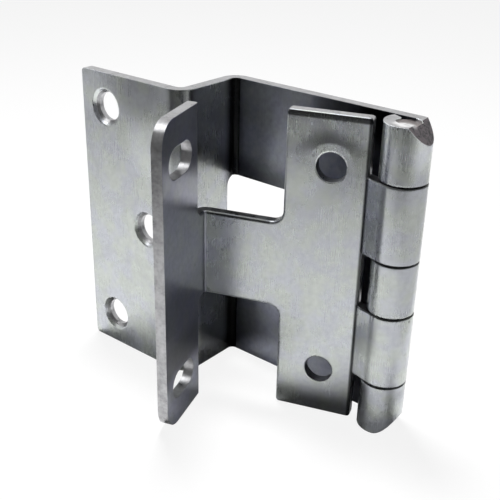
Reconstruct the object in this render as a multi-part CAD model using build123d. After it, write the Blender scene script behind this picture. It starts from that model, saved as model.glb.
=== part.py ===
"""Five-knuckle wrap-around hinge with angled (hospital) tips.

Two folded steel leaves turn on one fixed pin. The frame leaf lies along X with its
seating face at Y = 0, and the origin is midway between the two holes of its plate.
+Y points away from the stile, Z runs along the pin. Sizes are in millimetres.
"""
import os
from math import asin, cos, degrees, radians, sin, tan

from build123d import *

# Sheet and barrel
HEIGHT = 69.85
SHEET = 2.3
DOOR_BEND = 1.4
FLANGE_BEND = 0.5
PIN_R = 2.65
PIN_RECESS = 0.4
RUNNING_GAP = 0.05
END_KNUCKLE = 12.0
MIDDLE_KNUCKLE = 12.1
KNUCKLE_GAP = 0.2
BARREL_CUT = 6.6
SEAM_BEVEL = 0.2
ROLL_GAP = 0.55
OPEN_ANGLE = 19.4

# Angled tips of the barrel, each ground by hand, so the two bevels differ a little
TIP_TURN = 6.0
UPPER_TIP_START = 1.85
UPPER_TIP_ANGLE = 51.0
LOWER_TIP_START = 0.45
LOWER_TIP_ANGLE = 41.5

# Frame leaf, measured from the pin's axis
PLATE_FAR = 24.2
PLATE_CORNER = 0.8
NECK_HEIGHT = 20.0
NECK_FILLET = 2.7
FLANGE_X = 41.9
FLANGE_DEPTH = 20.7
EAR_START = 3.3
EAR_FILLET = 1.5
EAR_CORNER = 5.3
CREASE_X = 6.86
CREASE_BEND = 0.3
EDGE_ROUND = 0.6
PLATE_HOLE_R = 3.2
PLATE_HOLE_X = 14.45
PLATE_HOLE_Z = 23.85
SLOT_R = 3.3
SLOT_LENGTH = 11.0
SLOT_OUT = 12.2
SLOT_Z = 25.5

# Door leaf, measured from the pin's axis
JOG_X = 45.8
JOG_DEPTH = 17.55
DOOR_FAR = 77.2
DOOR_CORNER = 1.0
WINDOW_HEIGHT = 24.0
WINDOW_END = 24.0
WINDOW_INTO_JOG = 2.4
WINDOW_FILLET = 2.6
SCREW_R = 3.3
SINK_R = 4.35
SINK_ANGLE = 82.0
SCREW_OUTER_X = 69.65
SCREW_INNER_X = 57.35
SCREW_Z = 26.9

TOP = HEIGHT / 2
HALF = SHEET / 2
SEAM_1 = TOP - END_KNUCKLE
SEAM_2 = MIDDLE_KNUCKLE / 2
DOOR_ROLL_R = PIN_R + HALF
FRAME_ROLL_R = PIN_R + RUNNING_GAP + HALF
DOOR_BACK_Y = DOOR_ROLL_R
DOOR_FRONT_Y = DOOR_ROLL_R - JOG_DEPTH
LONG = 4 * HEIGHT


def wall(path, low, high):
    """A standing sheet: the path's mid-line thickened by the sheet and raised from low to high."""
    return Pos(0, 0, low) * extrude(trace(path, SHEET), amount=high - low)


def block(x0, x1, y0, y1, z0, z1):
    """A plain cutting block between two corners."""
    size = Box(x1 - x0, y1 - y0, z1 - z0)
    return Pos((x0 + x1) / 2, (y0 + y1) / 2, (z0 + z1) / 2) * size


def rounded(solid, axis, test, radius):
    """The solid with the edges along one axis that pass the test rounded."""
    edges = [e for e in solid.edges().filter_by(axis) if test(e.center())]
    return fillet(edges, radius) if edges else solid


def roll_sweep(middle_r):
    """How far a knuckle rolls before its end would meet its own leaf, in degrees."""
    return 270 + degrees(asin((middle_r - HALF - ROLL_GAP) / (middle_r + HALF)))


def tip_cutters():
    """Two blocks that bevel the barrel's ends away from the leaves."""
    ahead = Vector(cos(radians(TIP_TURN)), sin(radians(TIP_TURN)), 0)
    bevels = [(1, UPPER_TIP_START, UPPER_TIP_ANGLE), (-1, LOWER_TIP_START, LOWER_TIP_ANGLE)]
    cutters = []
    for side, start, angle in bevels:
        edge = ahead * start + Vector(0, 0, side * TOP)
        normal = ahead * sin(radians(angle)) + Vector(0, 0, side * cos(radians(angle)))
        plane = Plane(origin=edge, z_dir=normal)
        cutters.append(plane * Pos(0, 0, HEIGHT / 2) * Box(HEIGHT, HEIGHT, HEIGHT))
    return cutters


def break_seams(leaf, outer_r, levels):
    """Knuckles with the outer edge of their ends broken at the given heights."""
    def at_seam(edge):
        arc = edge.geom_type == GeomType.CIRCLE and abs(edge.radius - outer_r) < 0.001
        return arc and any(abs(edge.center().Z - z) < 0.001 for z in levels)
    return chamfer([e for e in leaf.edges() if at_seam(e)], SEAM_BEVEL)


def frame_strip():
    """Flange, bend and web as one standing strip that ends beside the barrel."""
    middle_x = -FLANGE_X - HALF
    points = [(middle_x, -HALF - FLANGE_DEPTH), (middle_x, 0), (-BARREL_CUT, 0)]
    return wall(FilletPolyline(*points, radius=FLANGE_BEND + HALF), -TOP, TOP)


def frame_notch(side):
    """The material cut away above or below the neck, across the bend and into the flange."""
    neck = NECK_HEIGHT / 2
    past = HEIGHT
    web = block(-FLANGE_X - LONG, -PLATE_FAR, -HALF - FLANGE_BEND, LONG, neck, past)
    web = rounded(web, Axis.Y, lambda c: c.Z < TOP and c.X > -FLANGE_X, NECK_FILLET)
    ear_y = -HALF - EAR_START
    ear = block(-FLANGE_X - LONG, -FLANGE_X + FLANGE_BEND, ear_y, LONG, neck, past)
    ear = rounded(ear, Axis.X, lambda c: c.Z < TOP and c.Y < 0, EAR_FILLET)
    notch = web + ear
    return notch if side > 0 else mirror(notch, Plane.XY)


def frame_knuckle(low, high):
    """The web's swaged tongue, rolled from the front round the pin towards its own back."""
    lean = asin(FRAME_ROLL_R / CREASE_X)
    touch = (-FRAME_ROLL_R * sin(lean), -FRAME_ROLL_R * cos(lean))
    root = (-CREASE_X - SHEET, 0)
    tongue = FilletPolyline(root, (-CREASE_X, 0), touch, radius=CREASE_BEND + HALF)
    roll = CenterArc((0, 0), FRAME_ROLL_R, -90 - degrees(lean), roll_sweep(FRAME_ROLL_R))
    knuckle = wall(tongue + roll, low, high)
    return break_seams(knuckle, FRAME_ROLL_R + HALF, (low, high))


def plate_holes():
    """Two plain holes through the plate."""
    hole = Rot(90, 0, 0) * Cylinder(PLATE_HOLE_R, 4 * SHEET)
    return [Pos(-PLATE_HOLE_X, 0, z) * hole for z in (PLATE_HOLE_Z, -PLATE_HOLE_Z)]


def flange_slots():
    """Two slots through the flange's ears, long towards the free edge."""
    profile = Plane.YZ * SlotOverall(SLOT_LENGTH, 2 * SLOT_R)
    slot = extrude(profile, amount=2 * SHEET, both=True)
    out = -HALF - SLOT_OUT
    return [Pos(-FLANGE_X - HALF, out, z) * slot for z in (SLOT_Z, -SLOT_Z)]


def soften_front(leaf):
    """The edge that punching rolls over, round the plate and on along the neck and ears."""
    def on_end(c):
        return abs(c.Y + HALF) < 0.001 and abs(c.Z) > TOP - 0.1
    return rounded(leaf, Axis.X, on_end, EDGE_ROUND)


def frame_leaf():
    """Plate, neck, flange with two ears, and knuckles two and four, folded from one sheet."""
    leaf = frame_strip()
    leaf -= [frame_notch(1), frame_notch(-1)]
    leaf = rounded(leaf, Axis.X, lambda c: c.Y < -FLANGE_DEPTH and abs(c.Z) > TOP - 0.1, EAR_CORNER)
    leaf = rounded(leaf, Axis.Y, lambda c: abs(c.Z) > TOP - 0.1 and c.Y > -SHEET, PLATE_CORNER)
    leaf = soften_front(leaf)
    leaf -= plate_holes() + flange_slots()
    low = SEAM_2 + KNUCKLE_GAP / 2
    high = SEAM_1 - KNUCKLE_GAP / 2
    leaf += [frame_knuckle(low, high), frame_knuckle(-high, -low)]
    return leaf


def door_strip():
    """Screw plate, jog, web and roll as one standing strip of full height."""
    front = DOOR_FRONT_Y
    jog = -JOG_X - HALF
    points = [(-DOOR_FAR, front), (jog, front), (jog, DOOR_BACK_Y), (0, DOOR_BACK_Y)]
    path = FilletPolyline(*points, radius=DOOR_BEND + HALF)
    roll = CenterArc((0, 0), DOOR_ROLL_R, 90, -roll_sweep(DOOR_ROLL_R))
    return wall(path + roll, -TOP, TOP)


def door_gap(side):
    """The space in the barrel that a frame knuckle turns in."""
    gap = block(-BARREL_CUT, LONG, -LONG, LONG, SEAM_2 - KNUCKLE_GAP / 2, SEAM_1 + KNUCKLE_GAP / 2)
    return gap if side > 0 else mirror(gap, Plane.XY)


def door_window():
    """The window in the web, which cuts a little way round the bend into the jog."""
    half = WINDOW_HEIGHT / 2
    inner_y = DOOR_BACK_Y - HALF
    web = block(-JOG_X, -WINDOW_END, inner_y - DOOR_BEND, LONG, -half, half)
    web = rounded(web, Axis.Y, lambda c: c.X > -JOG_X + 1, WINDOW_FILLET)
    jog = block(-JOG_X - LONG, -JOG_X + DOOR_BEND, inner_y - WINDOW_INTO_JOG, LONG, -half, half)
    jog = rounded(jog, Axis.X, lambda c: c.Y < inner_y, min(WINDOW_FILLET, 0.99 * WINDOW_INTO_JOG))
    return web + jog


def screw_holes():
    """Three countersunk holes, sunk from the front of the screw plate."""
    sink_depth = (SINK_R - SCREW_R) / tan(radians(SINK_ANGLE / 2))
    face = DOOR_FRONT_Y - HALF
    shank = Cylinder(SCREW_R, 4 * SHEET)
    over = 0.5
    spread = over * tan(radians(SINK_ANGLE / 2))
    sink = Pos(0, 0, (over - sink_depth) / 2) * Cone(SCREW_R, SINK_R + spread, sink_depth + over)
    hole = Rot(90, 0, 0) * (shank + sink)
    places = [(SCREW_OUTER_X, SCREW_Z), (SCREW_INNER_X, 0), (SCREW_OUTER_X, -SCREW_Z)]
    return [Pos(-x, face, z) * hole for x, z in places]


def door_leaf():
    """Screw plate, jog, windowed web and knuckles one, three and five, folded from one sheet."""
    leaf = door_strip()
    leaf -= [door_gap(1), door_gap(-1), door_window()]
    leaf = rounded(leaf, Axis.Y, lambda c: c.X < -DOOR_FAR + 0.1, DOOR_CORNER)
    leaf -= screw_holes() + tip_cutters()
    low = SEAM_2 - KNUCKLE_GAP / 2
    high = SEAM_1 + KNUCKLE_GAP / 2
    return break_seams(leaf, DOOR_ROLL_R + HALF, (low, high, -low, -high))


def hinge_pin():
    """The fixed pin, a little below the barrel's ends and bevelled flush with its tips."""
    return Cylinder(PIN_R, HEIGHT - 2 * PIN_RECESS) - tip_cutters()


def main():
    os.makedirs("parts", exist_ok=True)
    to_row = Pos(PLATE_HOLE_X, HALF, 0)
    opened = to_row * Rot(0, 0, -OPEN_ANGLE)
    nodes = {
        "frame_leaf": to_row * frame_leaf(),
        "door_leaf": opened * door_leaf(),
        "hinge_pin": opened * hinge_pin(),
    }
    for name, solid in nodes.items():
        solid.label = name
        export_step(solid, f"parts/{name}.step")


main()
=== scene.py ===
"""A satin steel five-knuckle cabinet hinge, standing partly open on a pale floor."""
from math import radians

import bmesh
import bpy
import numpy as np
from mathutils import Euler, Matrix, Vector


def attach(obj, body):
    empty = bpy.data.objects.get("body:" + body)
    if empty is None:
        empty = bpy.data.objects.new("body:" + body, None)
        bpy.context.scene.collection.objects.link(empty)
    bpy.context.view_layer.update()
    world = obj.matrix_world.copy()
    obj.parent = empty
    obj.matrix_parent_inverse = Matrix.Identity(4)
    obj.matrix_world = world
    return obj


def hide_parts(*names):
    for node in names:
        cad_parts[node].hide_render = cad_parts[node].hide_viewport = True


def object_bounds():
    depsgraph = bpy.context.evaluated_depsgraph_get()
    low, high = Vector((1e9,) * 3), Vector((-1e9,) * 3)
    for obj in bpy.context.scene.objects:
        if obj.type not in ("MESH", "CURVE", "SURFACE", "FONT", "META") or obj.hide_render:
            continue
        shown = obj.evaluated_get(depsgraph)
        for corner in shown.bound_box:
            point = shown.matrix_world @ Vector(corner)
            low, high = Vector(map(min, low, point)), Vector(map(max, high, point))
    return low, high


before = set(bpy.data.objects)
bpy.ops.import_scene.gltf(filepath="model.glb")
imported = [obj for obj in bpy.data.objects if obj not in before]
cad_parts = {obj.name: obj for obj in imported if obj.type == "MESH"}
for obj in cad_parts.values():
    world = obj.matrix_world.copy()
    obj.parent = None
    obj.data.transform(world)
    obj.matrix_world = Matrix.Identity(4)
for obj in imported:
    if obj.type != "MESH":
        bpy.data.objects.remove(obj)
cad_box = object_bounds()

# Door leaf
# One sheet of cold-rolled steel: punched, folded twice to step round a door's edge, and rolled into
# knuckles one, three and five. It is brushed along its height, and its two barrel tips are ground by hand.
MM = 0.001
SHEET = 2.3 * MM
AXIS_X = 14.45 * MM
AXIS_Y = 1.15 * MM
OPEN_ANGLE = radians(19.4)
MERGE_WITHIN = 0.002 * MM
FLAT_WITHIN = radians(0.05)
SHARP_ANGLE = radians(24)
EDGE_BREAK = 0.18 * MM
EDGE_ANGLE = radians(40)


class Sock:
    """A shader socket that arithmetic works on: each operation adds one node to its tree."""

    def __init__(self, tree, socket=None):
        self.tree = tree
        self.socket = socket

    def feed(self, node, **inputs):
        """Sets or links a node's sockets, each given by its name or by i and its number."""
        for name, value in inputs.items():
            key = int(name[1:]) if name[0] == "i" and name[1:].isdigit() else name.replace("_", " ")
            if isinstance(value, Sock):
                self.tree.links.new(value.socket, node.inputs[key])
            else:
                node.inputs[key].default_value = value

    def node(self, kind, settings=None, output=0, **inputs):
        """A node of any kind: its settings first, then its sockets. It gives the output of that number."""
        made = self.tree.nodes.new(kind)
        for name, value in (settings or {}).items():
            setattr(made, name, value)
        self.feed(made, **inputs)
        return Sock(self.tree, made.outputs[output] if made.outputs else None)

    def math(self, operation, first, second):
        return self.node("ShaderNodeMath", {"operation": operation}, i0=first, i1=second)

    def __add__(self, other):
        return self.math("ADD", self, other)

    __radd__ = __add__

    def __sub__(self, other):
        return self.math("SUBTRACT", self, other)

    def __rsub__(self, other):
        return self.math("SUBTRACT", other, self)

    def __mul__(self, other):
        return self.math("MULTIPLY", self, other)

    __rmul__ = __mul__

    def __abs__(self):
        return self.node("ShaderNodeMath", {"operation": "ABSOLUTE"}, i0=self)

    def fade(self, low, high):
        """A smooth step from 0 at low to 1 at high, which may run downwards."""
        return self.node("ShaderNodeMapRange", {"interpolation_type": "SMOOTHSTEP"},
                         Value=self, From_Min=low, From_Max=high)

    def mix(self, first, second, **settings):
        """A colour between the two, by this share of the second."""
        return self.node("ShaderNodeMix", {"data_type": "RGBA", **settings}, output=2,
                         i0=self, i6=first, i7=second)

    def vector(self, operation, other, output=0):
        return self.node("ShaderNodeVectorMath", {"operation": operation}, output=output, i0=self, i1=other)

    def axis(self, index):
        """One coordinate of a vector."""
        return self.node("ShaderNodeSeparateXYZ", output=index, Vector=self)

    def distance(self, point):
        """How far a place is from the point."""
        return self.vector("DISTANCE", point, output=1)

    def plan_distance(self, point):
        """How far a place is from an upright line through the point, which lies at height 0."""
        return self.vector("MULTIPLY", (1.0, 1.0, 0.0)).distance(point)

    def along(self, origin, direction):
        """How far a place lies from the origin in one direction."""
        return self.vector("SUBTRACT", origin).vector("DOT_PRODUCT", direction, output=1)


def bent_line(corners, radius, steps=12):
    """A polyline whose inner corners are arcs: each arc's points are its centre plus a turning radius."""
    points = [np.array(corners[0])]
    for before, here, after in zip(corners, corners[1:], corners[2:]):
        a = (np.array(before) - here) / np.linalg.norm(np.array(before) - here)
        b = (np.array(after) - here) / np.linalg.norm(np.array(after) - here)
        half = np.arccos(np.clip(a @ b, -1, 1)) / 2
        centre = np.array(here) + (a + b) / np.linalg.norm(a + b) * radius / np.sin(half)
        start = np.array(here) + a * radius / np.tan(half) - centre
        end = np.array(here) + b * radius / np.tan(half) - centre
        share = np.linspace(0, 1, steps)[:, None]
        arc = start * (1 - share) + end * share
        points.extend(centre + radius * arc / np.linalg.norm(arc, axis=1, keepdims=True))
    points.append(np.array(corners[-1]))
    return np.array(points)


def ring(radius, steps=48):
    """A closed circle about the pin."""
    turn = np.linspace(0, 2 * np.pi, steps)
    return radius * np.column_stack([np.cos(turn), np.sin(turn)])


def depth_from(points, path):
    """The least distance of each point from a path's straight pieces."""
    start, end = path[:-1], path[1:]
    along = end - start
    share = ((points[:, None] - start) * along).sum(2) / (along ** 2).sum(1)
    foot = start + np.clip(share, 0, 1)[..., None] * along
    return np.linalg.norm(points[:, None] - foot, axis=2).min(1)


def merged_copy(node, name, body):
    """The node's own surface as one merged mesh, smooth over rolls and bends, with its cut edges broken."""
    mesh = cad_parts[node].data.copy()
    mesh.name = name
    mesh.materials.clear()
    work = bmesh.new()
    work.from_mesh(mesh)
    bmesh.ops.remove_doubles(work, verts=work.verts, dist=MERGE_WITHIN)
    bmesh.ops.dissolve_limit(work, angle_limit=FLAT_WITHIN, verts=work.verts, edges=work.edges)
    work.to_mesh(mesh)
    work.free()
    mesh.shade_smooth()
    mesh.set_sharp_from_angle(angle=SHARP_ANGLE)
    piece = bpy.data.objects.new(name, mesh)
    bpy.context.scene.collection.objects.link(piece)
    bevel = piece.modifiers.new("edge_break", "BEVEL")
    bevel.width = EDGE_BREAK
    bevel.segments = 2
    bevel.limit_method = "ANGLE"
    bevel.angle_limit = EDGE_ANGLE
    bevel.use_clamp_overlap = True
    normals = piece.modifiers.new("flat_faces", "WEIGHTED_NORMAL")
    normals.keep_sharp = True
    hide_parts(node)
    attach(piece, body)
    return piece


def face_arrays(mesh):
    """The centres and normals of a mesh's faces as two arrays."""
    count = len(mesh.polygons)
    centres = np.empty(count * 3)
    normals = np.empty(count * 3)
    mesh.polygons.foreach_get("center", centres)
    mesh.polygons.foreach_get("normal", normals)
    return centres.reshape(-1, 3), normals.reshape(-1, 3)


def dress(piece, materials, chosen):
    """Gives the piece its materials, and each face the chosen one's number."""
    for material in materials:
        piece.data.materials.append(material)
    piece.data.polygons.foreach_set("material_index", chosen.astype(np.int32))


def swell_tip(piece, facet):
    """Rounds the lower ground facet: at u ahead of the pin, its height is h ((u - a) / (r - a))^2.

    Here r is the barrel's radius, h the facet's height there, and a where the facet starts."""
    mesh = piece.data
    places = np.empty(len(mesh.vertices) * 3)
    mesh.vertices.foreach_get("co", places)
    places = places.reshape(-1, 3)
    corners = np.empty(len(mesh.loops), np.int32)
    mesh.loops.foreach_get("vertex_index", corners)
    sides = np.empty(len(mesh.polygons), np.int32)
    mesh.polygons.foreach_get("loop_total", sides)
    used = np.unique(corners[np.repeat(facet, sides)])
    normal = face_arrays(mesh)[1][facet].mean(0)
    flat = np.linalg.norm(normal[:2])
    slope = -flat / normal[2]
    ahead = (places[used, :2] - (AXIS_X, AXIS_Y)) @ normal[:2] / flat
    start = np.median(ahead - (places[used, 2] - cad_box[0][2]) / slope)
    rise = slope * (BARREL_R - start)
    share = np.clip((ahead - start) / (BARREL_R - start), 0, 1)
    places[used, 2] = cad_box[0][2] + rise * share ** SWELL
    mesh.vertices.foreach_set("co", places.ravel())
    mesh.update()


# Where the marks lie: a pair of lengths is where a mark starts and where it is full
PLATE_LEFT = (-10.6 * MM, -10.1 * MM)
PLATE_RIGHT = (8.4 * MM, 7.9 * MM)
PLATE_FRONT = (1.0 * MM, 0.6 * MM)


def on_plate(place):
    """Where the frame leaf's plate lies: 1 on its front face and 0 elsewhere."""
    across = place.axis(0)
    return across.fade(*PLATE_LEFT) * across.fade(*PLATE_RIGHT) * place.axis(1).fade(*PLATE_FRONT)


PIN_AXIS = (AXIS_X, AXIS_Y, 0.0)
PLATE_MID = -13.75 * MM
STEP_MID = -46.95 * MM
WEB_MID = 3.8 * MM
SIDE_BLEND = 0.4 * MM


def on_door_front(place):
    """Where the door leaf faces forward: 1 on its screw plate's front and in its hollow, 0 on its back.

    The sides are told apart by the sheet's mid-line, with u along the web and v across it from the pin."""
    u = place.along(PIN_AXIS, (np.cos(OPEN_ANGLE), -np.sin(OPEN_ANGLE), 0.0))
    v = place.along(PIN_AXIS, (np.sin(OPEN_ANGLE), np.cos(OPEN_ANGLE), 0.0))
    plate = v.fade(PLATE_MID + SIDE_BLEND, PLATE_MID - SIDE_BLEND)
    step = u.fade(STEP_MID - SIDE_BLEND, STEP_MID + SIDE_BLEND)
    return (1 - (1 - plate) * (1 - step)) * v.fade(WEB_MID + SIDE_BLEND, WEB_MID - SIDE_BLEND)


MARKED_HOLE = (0.0, 0.0, 23.85 * MM)
WASHER_OUT = (5.1 * MM, 4.6 * MM)
WASHER_UP = (22.5 * MM, 27.5 * MM)
BARREL_OUT = (5.6 * MM, 5.2 * MM)
BARREL_ENDS = (24 * MM, 30 * MM)
PLATE_UP = (26 * MM, 33 * MM)
PLATE_BRIM = (34.6 * MM, 34.3 * MM)
TONGUE = (9.3 * MM, -1.4 * MM, 0.0)
TONGUE_OUT = (2.6 * MM, 1.4 * MM)
SPOT_CORE = 0.3
# Round spots of painted light and shade: the centre and reach in millimetres, then the share of the colour
# gained or lost
PAINTED_SPOTS = (((-61.2, 12.0, 31.0), 8, 0.30),
        ((-46.1, 6.7, 31.7), 9, -0.26),
        ((-43.3, 5.7, 20.0), 10, 0.26),
        ((-46.1, 6.7, -31.5), 7, 0.25),
        ((-6.4, 0.0, 22.0), 8, 0.22),
        ((-31.4, 8.8, 24.0), 10, -0.30))


def washer_mark_and_painted_light(place):
    """The share of the colour gained: a washer's ring over the plate's upper hole, a real mark with a
    painted highlight on its upper half; painted highlights on the barrel's ends, the plate's top and the
    tongues; and round spots of painted light and shade."""
    height = place.axis(2)
    washer = place.distance(MARKED_HOLE).fade(*WASHER_OUT) * height.fade(*WASHER_UP)
    ends = place.plan_distance(PIN_AXIS).fade(*BARREL_OUT) * abs(height).fade(*BARREL_ENDS)
    top = height.fade(*PLATE_UP) * height.fade(*PLATE_BRIM) * on_plate(place)
    tongues = place.plan_distance(TONGUE).fade(*TONGUE_OUT)
    # Painted highlights on the washer ring's upper half, the barrel's ends, the plate's top and the tongues
    gained = 0.4 * washer + 0.4 * ends + 0.9 * top + 0.55 * tongues
    for centre, reach, share in PAINTED_SPOTS:
        spot = place.distance(Vector(centre) * MM).fade(reach * MM, SPOT_CORE * reach * MM)
        gained = gained + share * spot
    return gained


FOLD = (-27.87 * MM, 18.86 * MM, 0.0)
FOLD_ENDS = (7 * MM, 11 * MM)
FOLD_OUT = (4.2 * MM, 1.0 * MM)
STEP_BEND = (-33.70 * MM, 2.31 * MM, 0.0)
BEND_UP = (16 * MM, 22 * MM)
BEND_OUT = (5.0 * MM, 3.0 * MM)
STEP_DOWN = (-11 * MM, -16 * MM)
STEP_OUT = (15 * MM, 11 * MM)


def step_painted_shade(place):
    """Painted shade in the door leaf's step: at the fold's two ends, high on the bend and low on the face.
    """
    height = place.axis(2)
    from_fold = place.plan_distance(FOLD)
    fold = 0.96 * abs(height).fade(*FOLD_ENDS) * from_fold.fade(*FOLD_OUT)
    bend = 0.42 * height.fade(*BEND_UP) * place.plan_distance(STEP_BEND).fade(*BEND_OUT)
    under = 0.7 * height.fade(*STEP_DOWN) * from_fold.fade(*STEP_OUT)
    return (1 - (1 - fold) * (1 - bend) * (1 - under)) * on_door_front(place)


EDGE_FROM = (33.4 * MM, 33.85 * MM)
EDGE_TO = (34.88 * MM, 34.66 * MM)
PLATE_DOWN = (-28 * MM, -33 * MM)
HOLE_SHADE_OUT = (9.0 * MM, 5.5 * MM)
HOLE_SHADE_IN = (4.8 * MM, 5.3 * MM)
HOLE_SHADE_UP = (26 * MM, 29 * MM)


def plate_painted_shade(place):
    """Painted shade on the frame leaf's plate: a dark band under its upper edge, darker at its foot, and a
    darker ring over the upper hole.
    """
    height = place.axis(2)
    from_hole = place.distance(MARKED_HOLE)
    edge = 0.85 * height.fade(*EDGE_FROM) * height.fade(*EDGE_TO)
    foot = 0.6 * height.fade(*PLATE_DOWN)
    hole_shade = 0.6 * from_hole.fade(*HOLE_SHADE_OUT) * from_hole.fade(*HOLE_SHADE_IN) * height.fade(*HOLE_SHADE_UP)
    return (edge + foot + hole_shade) * on_plate(place)


CREASE = (7.59 * MM, 0.0, 0.0)
CREASE_OUT = (0.75 * MM, 0.25 * MM)
JOINTS = (6.05 * MM, 22.925 * MM)
JOINT_OFF = (0.42 * MM, 0.22 * MM)
JOINT_OUT = (7.0 * MM, 6.2 * MM)
LAST_FROM = (8.5 * MM, 9.2 * MM)
LAST_LEFT = (13 * MM, 10.5 * MM)
LAST_RIGHT = (16 * MM, 18.5 * MM)
LAST_DOWN = (-23 * MM, -25 * MM)
NECK_EDGE = 10 * MM
NECK_OFF = (0.9 * MM, 0.5 * MM)
NECK_LEFT = (-28.5 * MM, -27.5 * MM)
NECK_RIGHT = (-12.0 * MM, -13.0 * MM)
NECK_FRONT = (2.6 * MM, 2.0 * MM)


def satin_painted_shade(place):
    """Painted shade on the satin steel: in the step, on the plate, in the crease by the tongues, in the
    knuckles' joints, on the two sides of the last knuckle, and along the neck's upper edge."""
    across, height = place.axis(0), place.axis(2)
    crease = 0.85 * place.plan_distance(CREASE).fade(*CREASE_OUT)
    lines = sum(abs(abs(height) - joint).fade(*JOINT_OFF) for joint in JOINTS)
    joints = 0.9 * lines * place.plan_distance(PIN_AXIS).fade(*JOINT_OUT)
    sides = across.fade(*LAST_LEFT) + 0.45 * across.fade(*LAST_RIGHT)
    last = 0.6 * sides * across.fade(*LAST_FROM) * height.fade(*LAST_DOWN)
    on_neck = across.fade(*NECK_LEFT) * across.fade(*NECK_RIGHT) * place.axis(1).fade(*NECK_FRONT)
    neck = 0.75 * abs(height - NECK_EDGE).fade(*NECK_OFF) * on_neck
    unshaded = (1 - step_painted_shade(place)) * (1 - plate_painted_shade(place))
    return 1 - unshaded * (1 - crease) * (1 - joints) * (1 - last) * (1 - neck)


HOLLOW_ENDS = (1 * MM, 5 * MM)
HOLLOW_OUT = (14 * MM, 1.0 * MM)
SHADE_BAND_ACROSS = (-10 * MM, -5 * MM)
BARREL_NEAR = (1.5 * MM, 6 * MM)
BARREL_FAR = (11 * MM, 9 * MM)
WINDOW_ABOVE = (19 * MM, 13 * MM)
WINDOW_FROM = (8 * MM, 11 * MM)
TOP_UP = (24 * MM, 30 * MM)
TOP_ACROSS = (-14 * MM, 0.0)


def hollow_painted_shade(place):
    """Painted shade on the hollow face: out from the fold, towards and beside the barrel, over the window,
    and along its top."""
    across, height = place.axis(0), place.axis(2)
    fold = 0.52 * abs(height).fade(*HOLLOW_ENDS) * place.plan_distance(FOLD).fade(*HOLLOW_OUT)
    shade_band = 0.35 * across.fade(*SHADE_BAND_ACROSS)
    beside = 0.85 * across.fade(*BARREL_NEAR) * across.fade(*BARREL_FAR)
    window = 0.65 * height.fade(*WINDOW_ABOVE) * height.fade(*WINDOW_FROM)
    top = 0.75 * height.fade(*TOP_UP) * across.fade(*TOP_ACROSS)
    return 1 - (1 - fold) * (1 - shade_band) * (1 - beside) * (1 - window) * (1 - top)


CHANNEL_UPPER = (4 * MM, -6 * MM)
CHANNEL_LOWER = (-12 * MM, -17 * MM)
CHANNEL_FOOT = (-20.5 * MM, -26 * MM)
FLANGE_ACROSS = (-25.0 * MM, -26.5 * MM)


def channel_painted_light(place):
    """Painted shade that deepens down the flange and ends above its foot, where a painted highlight makes it
    brighter.
    """
    height = place.axis(2)
    shade_band = 0.35 * height.fade(*CHANNEL_UPPER) + 0.25 * height.fade(*CHANNEL_LOWER)
    foot = 1.2 * height.fade(*CHANNEL_FOOT)
    return (shade_band - foot) * place.axis(0).fade(*FLANGE_ACROSS)


def new_steel(name):
    """A bare metal: its material, its shader, a socket that starts its tree, and the places on its piece."""
    material = bpy.data.materials.new(name)
    material.use_nodes = True
    shader = material.node_tree.nodes["Principled BSDF"]
    shader.inputs["Metallic"].default_value = 1.0
    base = Sock(material.node_tree)
    return material, shader, base, base.node("ShaderNodeTexCoord", output=3)


BRUSHED = (3600.0, 3600.0, 180.0)
PIT_CELLS = 260.0
PITTED = (0.93, 0.95)
PIT_SIZE = (0.14, 0.07)
CASTS = (0.36, 0.64)
BRUSH_DEPTH = 0.02 * MM
BLACK = (0.0, 0.0, 0.0, 1.0)


def satin_steel(name, cool, warm, roughness, grain, roll, painted_shade):
    """Brushed steel of two casts, with streaks along its height, smudges, specks and small pits.

    Its edges are rolled over by the given radius, as punching leaves them. The painted shade is a function
    that gives the share of the colour lost to painted shade at a place, and a painted highlight where that
    share is negative. The washer mark and painted light are added to every satin steel."""
    material, shader, base, place = new_steel(name)
    drawn = base.node("ShaderNodeMapping", Vector=place, Scale=BRUSHED)
    streak = base.node("ShaderNodeTexNoise", Vector=drawn, Scale=1.0, Detail=3.0, Roughness=0.6)
    smudge = base.node("ShaderNodeTexNoise", Vector=place, Scale=85.0, Detail=5.0, Roughness=0.62,
                       Distortion=0.6)
    speckle = base.node("ShaderNodeTexNoise", Vector=place, Scale=900.0, Detail=2.0, Roughness=0.5)
    tint = base.node("ShaderNodeTexNoise", Vector=place, Scale=210.0, Detail=3.0, Roughness=0.55)
    cell = base.node("ShaderNodeTexVoronoi", Vector=place, Scale=PIT_CELLS, Randomness=1.0)
    pick = base.node("ShaderNodeTexVoronoi", output=1, Vector=place, Scale=PIT_CELLS, Randomness=1.0)
    pits = base.node("ShaderNodeSeparateColor", Color=pick).fade(*PITTED) * cell.fade(*PIT_SIZE)
    marks = grain * (0.40 * (smudge - 0.5) + 0.12 * (streak - 0.5) + 0.24 * (speckle - 0.5))
    # Painted light from the washer-mark function and painted shade from the last argument change the steel's
    # colour
    shade = (0.94 + washer_mark_and_painted_light(place) + marks - 0.5 * pits) * (1 - painted_shade(place))
    cast = tint.fade(*CASTS).mix(cool + (1.0,), warm + (1.0,))
    rough = roughness + 0.08 * (streak - 0.5) + 0.20 * (smudge - 0.5)
    rolled = base.node("ShaderNodeBevel", {"samples": 8}, Radius=roll)
    relief = base.node("ShaderNodeBump", Strength=0.05, Distance=BRUSH_DEPTH, Height=streak, Normal=rolled)
    steel = shade.mix(BLACK, cast, clamp_factor=False)
    base.feed(shader, Base_Color=steel, Roughness=rough, Normal=relief)
    return material


TORN = (0.02, 0.02, 0.022, 1.0)
GLINT_WHITE = (0.90, 0.90, 0.90, 1.0)
GLINT_AT = (13.9 * MM, -1.0 * MM, 0.0)
GLINT_OUT = (2.7 * MM, 1.3 * MM)
GLINT_UP = (34.0 * MM, 34.3 * MM)
GLINT_TEAR = (0.30, 0.55)
TEAR_DEPTH = 0.05 * MM


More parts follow.
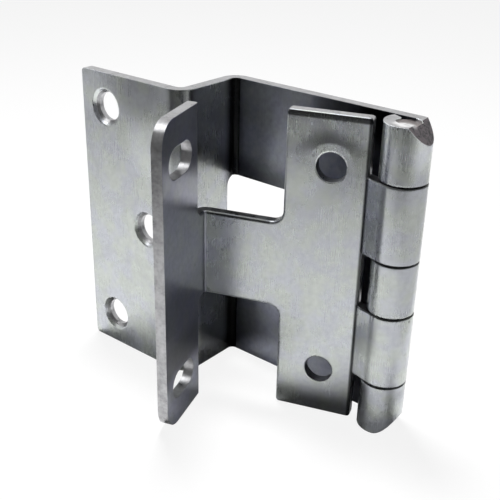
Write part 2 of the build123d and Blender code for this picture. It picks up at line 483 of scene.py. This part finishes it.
def sheared_steel(name, colour, roughness, scale, contrast):
    """A cut or ground edge: torn marks of the given scale in two sizes, rougher than the rolled face.

    The barrel's top has a painted highlight, a white patch, in one place."""
    material, shader, base, place = new_steel(name)
    drawn = base.node("ShaderNodeMapping", Vector=place, Scale=(scale, scale, scale))
    tear = base.node("ShaderNodeTexNoise", Vector=drawn, Scale=1.0, Detail=2.0, Roughness=0.6)
    nick = base.node("ShaderNodeTexNoise", Vector=drawn, Scale=3.3, Detail=2.0, Roughness=0.6)
    shade = 0.8 + contrast * (0.6 * tear + 0.4 * nick - 0.5)
    # A painted highlight: a white patch on the barrel's top
    painted_glint = place.axis(2).fade(*GLINT_UP) * place.plan_distance(GLINT_AT).fade(*GLINT_OUT)
    steel = (painted_glint * tear.fade(*GLINT_TEAR)).mix(shade.mix(TORN, colour + (1.0,)), GLINT_WHITE)
    rough = roughness + 0.3 * (tear - 0.5)
    relief = base.node("ShaderNodeBump", Strength=0.5, Distance=TEAR_DEPTH, Height=nick)
    base.feed(shader, Base_Color=steel, Roughness=rough, Normal=relief)
    return material


FACE_ROLL = 0.5 * MM
HOLLOW_ROLL = 0.3 * MM
leaf_satin = satin_steel("leaf_satin_steel", (0.475, 0.490, 0.525), (0.490, 0.515, 0.490), 0.27, 1.0,
                         FACE_ROLL, satin_painted_shade)
# The next two steels are darker copies of the satin steel: rougher, and darker as painted shade for the door
# leaf's hollow and the frame leaf's channel and backs
leaf_shaded = satin_steel("leaf_shaded_steel", (0.390, 0.405, 0.490), (0.415, 0.435, 0.470), 0.34, 1.6,
                        HOLLOW_ROLL, hollow_painted_shade)
leaf_channel_shaded = satin_steel("leaf_channel_shaded_steel", (0.225, 0.230, 0.285), (0.240, 0.250, 0.270), 0.34, 1.6,
                           HOLLOW_ROLL, channel_painted_light)
leaf_sheared = sheared_steel("leaf_sheared_edge", (0.46, 0.46, 0.47), 0.32, 420.0, 1.5)
tip_ground = sheared_steel("tip_ground_steel", (0.125, 0.11, 0.118), 0.45, 640.0, 6.0)

DOOR_BEND_MID = 2.55 * MM
DOOR_END = -77.2 * MM
DOOR_LINE = [(DOOR_END, PLATE_MID), (STEP_MID, PLATE_MID), (STEP_MID, WEB_MID), (0.0, WEB_MID)]
DOOR_ROLL = WEB_MID
BARREL_R = DOOR_ROLL + SHEET / 2
SWELL = 2.0
CUT_DEPTH = 0.27 * SHEET
LEVEL = 0.95
HOLLOW_FROM = -44.3 * MM
HOLLOW_TO = 3.0 * MM
TIP_FROM = 26 * MM
TIP_SLANT = 0.4
SATIN, SHEARED, SHADED, GROUND = 0, 1, 2, 3
door_leaf = merged_copy("door_leaf", "door_leaf_sheet", "door")
centres, normals = face_arrays(door_leaf.data)
cosine, sine = np.cos(OPEN_ANGLE), np.sin(OPEN_ANGLE)
flat = (centres[:, :2] - (AXIS_X, AXIS_Y)) @ np.array([[cosine, sine], [-sine, cosine]])
line = bent_line(DOOR_LINE, DOOR_BEND_MID)
depth = np.minimum(depth_from(flat, line), depth_from(flat, ring(DOOR_ROLL)))
chosen = np.where((depth < CUT_DEPTH) | (np.abs(normals[:, 2]) > LEVEL), SHEARED, SATIN)
from_pin = np.hypot(*flat.T)
# Faces in the hollow take the darker steel, which paints shade there
hollow = (flat[:, 0] > HOLLOW_FROM) & (flat[:, 1] < HOLLOW_TO) & (from_pin > BARREL_R + EDGE_BREAK)
chosen[hollow & (chosen == SATIN)] = SHADED
slant = (normals[:, 0] > TIP_SLANT) & (np.abs(normals[:, 2]) > TIP_SLANT)
tip = slant & (np.abs(centres[:, 2]) > TIP_FROM) & (from_pin < BARREL_R)
chosen[tip] = GROUND
dress(door_leaf, (leaf_satin, leaf_sheared, leaf_shaded, tip_ground), chosen)
swell_tip(door_leaf, tip & (centres[:, 2] < 0))

# Hinge pin
# A drawn steel wire through all five knuckles: pressed into the door leaf's three, and free to turn in the
# frame leaf's two. Its ends are ground off with the barrel's tips.
pin = merged_copy("hinge_pin", "hinge_pin_wire", "door")
pin_drawn = sheared_steel("pin_drawn_steel", (0.24, 0.205, 0.20), 0.34, 900.0, 1.6)
centres, normals = face_arrays(pin.data)
slant = (normals[:, 0] > TIP_SLANT) & (np.abs(normals[:, 2]) > TIP_SLANT)
dress(pin, (pin_drawn, tip_ground), slant)

# Frame leaf
# The second sheet, of the same steel: a plate with a narrow neck, folded into an eared flange, and two
# tongues swaged forward and rolled into knuckles two and four.
frame_leaf = merged_copy("frame_leaf", "frame_leaf_sheet", "frame")
FLANGE_BEND_MID = 1.65 * MM
FLANGE_LINE = np.array([(-43.05, -21.85), (-43.05, 0.0), (-6.86, 0.0), (-2.16, -3.19)]) * MM
FRAME_ROLL = 3.85 * MM
CHANNEL_FACE = (-42.2 * MM, -41.0 * MM)
CHANNEL_ROOT = -1.0 * MM
BACK_END = -6.6 * MM
BACK_FACE = 0.9 * MM
centres, normals = face_arrays(frame_leaf.data)
flat = centres[:, :2] - (AXIS_X, AXIS_Y)
line = bent_line(FLANGE_LINE, FLANGE_BEND_MID)
depth = np.minimum(depth_from(flat, line), depth_from(flat, ring(FRAME_ROLL)))
chosen = np.where((depth < CUT_DEPTH) | (np.abs(normals[:, 2]) > LEVEL), SHEARED, SATIN)
# The channel and the backs take the darkest steel, which paints shade there
channel = (flat[:, 0] > CHANNEL_FACE[0]) & (flat[:, 0] < CHANNEL_FACE[1]) & (flat[:, 1] < CHANNEL_ROOT)
back = (flat[:, 0] < BACK_END) & (flat[:, 1] > BACK_FACE)
chosen[(channel | back) & (chosen == SATIN)] = SHADED
dress(frame_leaf, (leaf_satin, leaf_sheared, leaf_channel_shaded), chosen)

# Floor
# A sheet of pale paper under the hinge, white to the eye, on which the hinge leaves a soft shadow.
CAMERA_GLOW = 0.88
MIRROR_GLOW = 0.07
PAPER = (0.86, 0.86, 0.86, 1.0)
WHITE = (1.0, 1.0, 1.0, 1.0)
FLOOR_REACH = 3.0


def cleared(owner):
    """The emptied node tree of a material or a world, as a socket that starts it."""
    owner.use_nodes = True
    owner.node_tree.nodes.clear()
    return Sock(owner.node_tree)


def staged(name, corners):
    """A flat sheet between its corners that belongs to the studio, and the start of its material's tree."""
    mesh = bpy.data.meshes.new(name)
    mesh.from_pydata(corners, [], [tuple(range(len(corners)))])
    made = bpy.data.objects.new(name, mesh)
    bpy.context.scene.collection.objects.link(made)
    face = bpy.data.materials.new(name)
    mesh.materials.append(face)
    return made, cleared(face)


def level_corners(left, right, front, far, height):
    """The corners of a level rectangle."""
    return [(left, front, height), (right, front, height), (right, far, height), (left, far, height)]


def ray_kinds(base):
    """Whether a ray is the camera's, a mirror's or glass's, each as 0 or 1."""
    return [base.node("ShaderNodeLightPath", output=index) for index in (0, 3, 6)]


floor_z = cad_box[0][2]
paper_span = (-FLOOR_REACH, FLOOR_REACH, -FLOOR_REACH, FLOOR_REACH, floor_z)
base = staged("floor", level_corners(*paper_span))[1]
to_camera, to_gloss, to_glass = ray_kinds(base)
lit = base.node("ShaderNodeBsdfDiffuse", Color=PAPER)
glow = base.node("ShaderNodeEmission", Color=WHITE, Strength=1.0)
share = to_camera * CAMERA_GLOW + (to_gloss + to_glass) * MIRROR_GLOW
seen = base.node("ShaderNodeMixShader", Fac=share, i1=lit, i2=glow)
base.node("ShaderNodeOutputMaterial", Surface=seen)

# Studio light
# A white room, a lamp above and behind that lights the paper, and cards that only the steel mirrors: a dark
# one standing in front, a black one lying before the hinge, a bright one over it, a grey one at its right.
ROOM_LIGHT = 0.08
room = bpy.data.worlds.new("studio")
bpy.context.scene.world = room
base = cleared(room)
to_camera, to_gloss, to_glass = ray_kinds(base)
shown = to_camera + to_gloss + to_glass
walls = base.node("ShaderNodeBackground", Color=WHITE, Strength=shown + ROOM_LIGHT * (1 - shown))
base.node("ShaderNodeOutputWorld", Surface=walls)
LAMP_OFFSET = Vector((-0.05, 0.075, 0.36))
LAMP_SIZE = 0.08
LAMP_WATTS = 2.5
middle = (Vector(cad_box[0]) + Vector(cad_box[1])) / 2
light = bpy.data.lights.new("softbox_top", "AREA")
light.size = LAMP_SIZE
light.energy = LAMP_WATTS
lamp = bpy.data.objects.new("softbox_top", light)
lamp.location = middle + LAMP_OFFSET
lamp.visible_glossy = False
lamp.rotation_euler = (-LAMP_OFFSET).to_track_quat("-Z", "Y").to_euler()
bpy.context.scene.collection.objects.link(lamp)


def card(name, glow, corners):
    """A studio card between its corners, of an even glow from 0 for black, that only mirrors show."""
    made, base = staged(name, corners)
    for ray in ("camera", "diffuse", "shadow", "transmission", "volume_scatter"):
        setattr(made, "visible_" + ray, False)
    shown = base.node("ShaderNodeEmission", Color=WHITE, Strength=glow)
    base.node("ShaderNodeOutputMaterial", Surface=shown)


DARK_GLOW = 0.20
BLACK_GLOW = 0.02
TOP_GLOW = 3.5
RIGHT_GLOW = 0.8
# In metres: a standing card's foot and head are y and z, an edge is x and y, and a span is left, right,
# front, far and height
CARD_REACH = 0.6
CARD_FOOT = floor_z + 0.5 * MM
STANDING_FOOT = (-0.35, CARD_FOOT)
STANDING_HEAD = (-0.20, 0.5)
BLACK_EDGE = [(CARD_REACH, -0.150), (-0.06, -0.150), (-0.19, -0.075), (-CARD_REACH, -0.200)]
TOP_SPAN = (-0.5, 0.02, -0.15, 0.12, 0.45)
RIGHT_SPAN = (0.06, CARD_REACH, -0.15, 0.15, CARD_FOOT)
card("card_front", DARK_GLOW, [(-CARD_REACH, *STANDING_FOOT), (CARD_REACH, *STANDING_FOOT),
                               (CARD_REACH, *STANDING_HEAD), (-CARD_REACH, *STANDING_HEAD)])
card("card_table", BLACK_GLOW, [(x, y, CARD_FOOT) for x, y in BLACK_EDGE]
     + [(-CARD_REACH, *STANDING_FOOT), (CARD_REACH, *STANDING_FOOT)])
card("card_top", TOP_GLOW, level_corners(*TOP_SPAN))
card("card_right", RIGHT_GLOW, level_corners(*RIGHT_SPAN))

# Camera
# A short telephoto look down at the hinge from its right, with the frame leaf's plate nearly square on.
EYE = Vector((40.025, -160.549, 82.992)) * MM
HEADING = radians(19.498)
LOOK_DOWN = radians(25.297)
ROLL = radians(1.364)
LENS = 62.62
SENSOR = 36.0
NEAREST = 1 * MM
view = bpy.data.cameras.new("view")
view.lens = LENS
view.sensor_width = SENSOR
view.clip_start = NEAREST
camera = bpy.data.objects.new("view", view)
camera.location = EYE
aim = Euler((radians(90) - LOOK_DOWN, 0.0, HEADING), "XYZ").to_matrix()
camera.rotation_euler = (aim @ Euler((0.0, 0.0, ROLL), "XYZ").to_matrix()).to_euler()
bpy.context.scene.collection.objects.link(camera)
bpy.context.scene.camera = camera
bpy.context.scene.view_settings.view_transform = "Standard"
